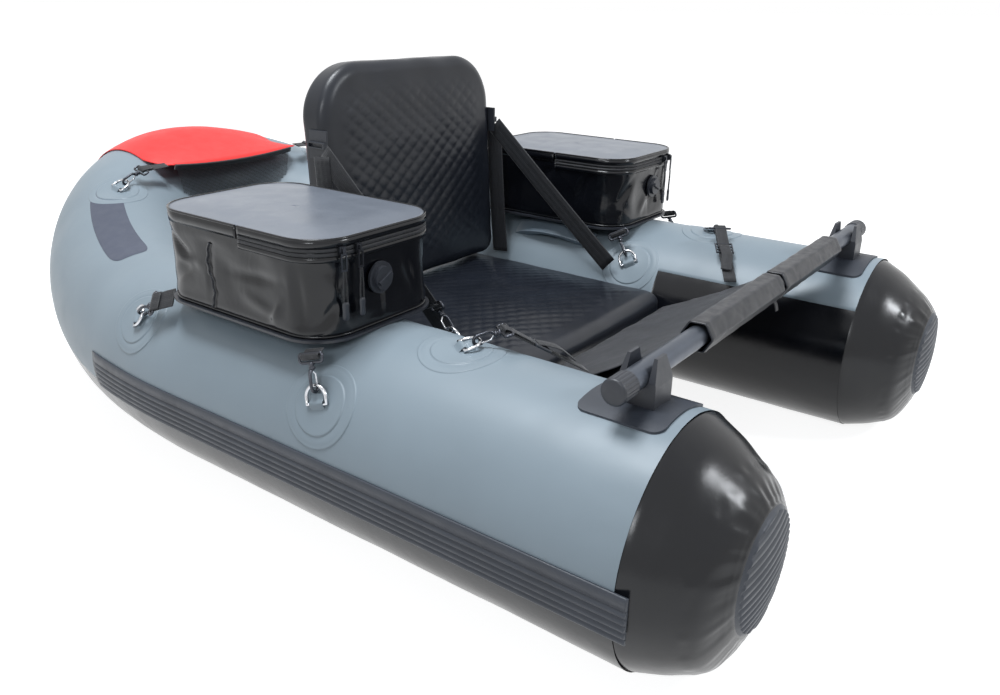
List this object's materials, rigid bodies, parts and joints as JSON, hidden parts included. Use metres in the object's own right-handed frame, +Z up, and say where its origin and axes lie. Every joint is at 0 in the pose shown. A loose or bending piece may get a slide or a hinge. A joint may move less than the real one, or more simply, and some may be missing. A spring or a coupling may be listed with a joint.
{
  "type": "inflatable fishing float tube",
  "caption": "Inflatable U-shaped float tube with a folding backrest, seat, side bags with lids, a lift-off crossbar with mesh apron, D-rings and a bow cover.",
  "frame": {"origin": "centre of the footprint on the ground", "axes": "+Z up, +Y towards the bow, +X towards the sitter's left"},
  "size_m": [1.112, 1.728, 0.6298],
  "materials": {
    "aluminium": "satin anodised",
    "black_fabric": "coated black fabric",
    "black_plastic": "moulded",
    "cover_red": "red woven fabric",
    "dark_metal": "blackened",
    "gloss_black": "glossy black coated fabric",
    "grey_plastic": "moulded",
    "hull_fabric": "satin coated fabric",
    "lid_grey": "grey coated fabric",
    "mesh": "net",
    "rubber": "ribbed rubber",
    "steel": "polished",
    "webbing": "woven webbing"
  },
  "bodies": {
    "hull": {"right_pontoon_tube": "hull_fabric", "left_pontoon_tube": "hull_fabric", "bow_tube": "hull_fabric", "right_nose_cone": "black_fabric", "left_nose_cone": "black_fabric", "right_nose_pad": "rubber", "left_nose_pad": "rubber", "right_rub_strake": "rubber", "left_rub_strake": "rubber", "ring_patches": "hull_fabric", "air_valves": "black_plastic", "right_carry_handle": "grey_plastic", "left_carry_handle": "grey_plastic", "bar_base_plates": "black_plastic", "bar_clips": "black_plastic", "floor_panel": "black_fabric", "seat_cushion": "gloss_black", "right_bag": "gloss_black", "left_bag": "gloss_black", "right_bag_board": "black_plastic", "left_bag_board": "black_plastic", "bag_plugs": "black_plastic", "right_bag_tethers": "webbing", "left_bag_tethers": "webbing", "apron_tethers": "webbing", "cover_tethers": "webbing", "bow_cover": "cover_red", "cover_binding": "webbing", "cover_mesh_wall": "mesh", "apron": "mesh", "right_back_straps": "webbing", "left_back_straps": "webbing"},
    "backrest": {"backrest": "gloss_black", "backrest_side_clips": "black_plastic"},
    "crossbar": {"crossbar_tube": "aluminium", "bar_end_caps": "black_plastic", "bar_sleeves": "black_fabric"},
    "right_bag_lid": {"right_bag_lid": "lid_grey"},
    "right_outer_zip_slider": {"right_outer_zip_slider": "dark_metal", "right_outer_zip_pull": "webbing"},
    "right_inner_zip_slider": {"right_inner_zip_slider": "dark_metal", "right_inner_zip_pull": "webbing"},
    "right_valve_cap": {"right_valve_cap": "black_plastic"},
    "right_bar_d_ring": {"right_bar_d_ring": "steel"},
    "right_bag_front_d_ring": {"right_bag_front_d_ring": "steel"},
    "right_bag_rear_d_ring": {"right_bag_rear_d_ring": "steel"},
    "right_seat_d_ring": {"right_seat_d_ring": "steel"},
    "right_cover_d_ring": {"right_cover_d_ring": "steel"},
    "left_bag_lid": {"left_bag_lid": "lid_grey"},
    "left_outer_zip_slider": {"left_outer_zip_slider": "dark_metal", "left_outer_zip_pull": "webbing"},
    "left_inner_zip_slider": {"left_inner_zip_slider": "dark_metal", "left_inner_zip_pull": "webbing"},
    "left_valve_cap": {"left_valve_cap": "black_plastic"},
    "left_bar_d_ring": {"left_bar_d_ring": "steel"},
    "left_bag_front_d_ring": {"left_bag_front_d_ring": "steel"},
    "left_bag_rear_d_ring": {"left_bag_rear_d_ring": "steel"},
    "left_seat_d_ring": {"left_seat_d_ring": "steel"},
    "left_cover_d_ring": {"left_cover_d_ring": "steel"}
  },
  "joints": [
    {"name": "backrest_fold", "type": "hinge", "parent": "hull", "child": "backrest", "pos_m": [0, -0.041, 0.233], "axis": [1, 0, 0], "range_deg": [0, 84], "deforming": ["right_back_straps", "left_back_straps"]},
    {"name": "crossbar_lift", "type": "slide", "parent": "hull", "child": "crossbar", "axis": [0, 0, 1], "range_m": [0, 0.06], "deforming": ["apron"]},
    {"name": "right_lid_hinge", "type": "hinge", "parent": "hull", "child": "right_bag_lid", "pos_m": [-0.39, -0.148, 0.449], "axis": [-1, 0, 0], "range_deg": [0, 100]},
    {"name": "right_outer_zip", "type": "hinge", "parent": "hull", "child": "right_outer_zip_slider", "pos_m": [-0.4525, -0.24, 0.431], "axis": [0, 0, -1], "range_deg": [0, 70]},
    {"name": "right_inner_zip", "type": "slide", "parent": "hull", "child": "right_inner_zip_slider", "axis": [1, 0, 0], "range_m": [0, 0.105], "deforming": ["right_inner_zip_pull"]},
    {"name": "right_valve_turn", "type": "hinge", "parent": "hull", "child": "right_valve_cap", "pos_m": [-0.25914, 0.06423, 0.2315], "axis": [0.8648, -0.0467, 0.5], "range_deg": [0, 180]},
    {"name": "right_bar_d_ring_swing", "type": "hinge", "parent": "hull", "child": "right_bar_d_ring", "pos_m": [-0.3978, -0.439, 0.31448], "axis": [0.5756, 0.8177, 0.01], "range_deg": [-4, 4]},
    {"name": "right_bag_front_d_ring_swing", "type": "hinge", "parent": "hull", "child": "right_bag_front_d_ring", "pos_m": [-0.52961, -0.307, 0.24141], "axis": [-0.1811, 0.9431, -0.2789], "range_deg": [-4, 4]},
    {"name": "right_bag_rear_d_ring_swing", "type": "hinge", "parent": "hull", "child": "right_bag_rear_d_ring", "pos_m": [-0.51318, 0.11833, 0.25717], "axis": [0.5953, 0.4561, 0.6615], "range_deg": [-4, 4]},
    {"name": "right_seat_d_ring_swing", "type": "hinge", "parent": "hull", "child": "right_seat_d_ring", "pos_m": [-0.26852, -0.329, 0.25281], "axis": [-0.352, -0.8204, 0.4506], "range_deg": [-4, 4]},
    {"name": "right_cover_d_ring_swing", "type": "hinge", "parent": "hull", "child": "right_cover_d_ring", "pos_m": [-0.27902, 0.52806, 0.36935], "axis": [0.0497, 0.9771, 0.2071], "range_deg": [-4, 4]},
    {"name": "left_lid_hinge", "type": "hinge", "parent": "hull", "child": "left_bag_lid", "pos_m": [0.39, -0.148, 0.449], "axis": [-1, 0, 0], "range_deg": [0, 100]},
    {"name": "left_outer_zip", "type": "hinge", "parent": "hull", "child": "left_outer_zip_slider", "pos_m": [0.4525, -0.24, 0.431], "axis": [0, 0, 1], "range_deg": [0, 70]},
    {"name": "left_inner_zip", "type": "slide", "parent": "hull", "child": "left_inner_zip_slider", "axis": [-1, 0, 0], "range_m": [0, 0.105], "deforming": ["left_inner_zip_pull"]},
    {"name": "left_valve_turn", "type": "hinge", "parent": "hull", "child": "left_valve_cap", "pos_m": [0.25914, 0.06423, 0.2315], "axis": [0.8648, 0.0467, -0.5], "range_deg": [0, 180]},
    {"name": "left_bar_d_ring_swing", "type": "hinge", "parent": "hull", "child": "left_bar_d_ring", "pos_m": [0.3978, -0.439, 0.31448], "axis": [0.5756, -0.8177, -0.01], "range_deg": [-4, 4]},
    {"name": "left_bag_front_d_ring_swing", "type": "hinge", "parent": "hull", "child": "left_bag_front_d_ring", "pos_m": [0.52961, -0.307, 0.24141], "axis": [-0.1811, -0.9431, 0.2789], "range_deg": [-4, 4]},
    {"name": "left_bag_rear_d_ring_swing", "type": "hinge", "parent": "hull", "child": "left_bag_rear_d_ring", "pos_m": [0.51318, 0.11833, 0.25717], "axis": [0.5953, -0.4561, -0.6615], "range_deg": [-4, 4]},
    {"name": "left_seat_d_ring_swing", "type": "hinge", "parent": "hull", "child": "left_seat_d_ring", "pos_m": [0.26852, -0.329, 0.25281], "axis": [-0.352, 0.8204, -0.4506], "range_deg": [-4, 4]},
    {"name": "left_cover_d_ring_swing", "type": "hinge", "parent": "hull", "child": "left_cover_d_ring", "pos_m": [0.27902, 0.52806, 0.36935], "axis": [0.0497, -0.9771, -0.2071], "range_deg": [-4, 4]}
  ]
}
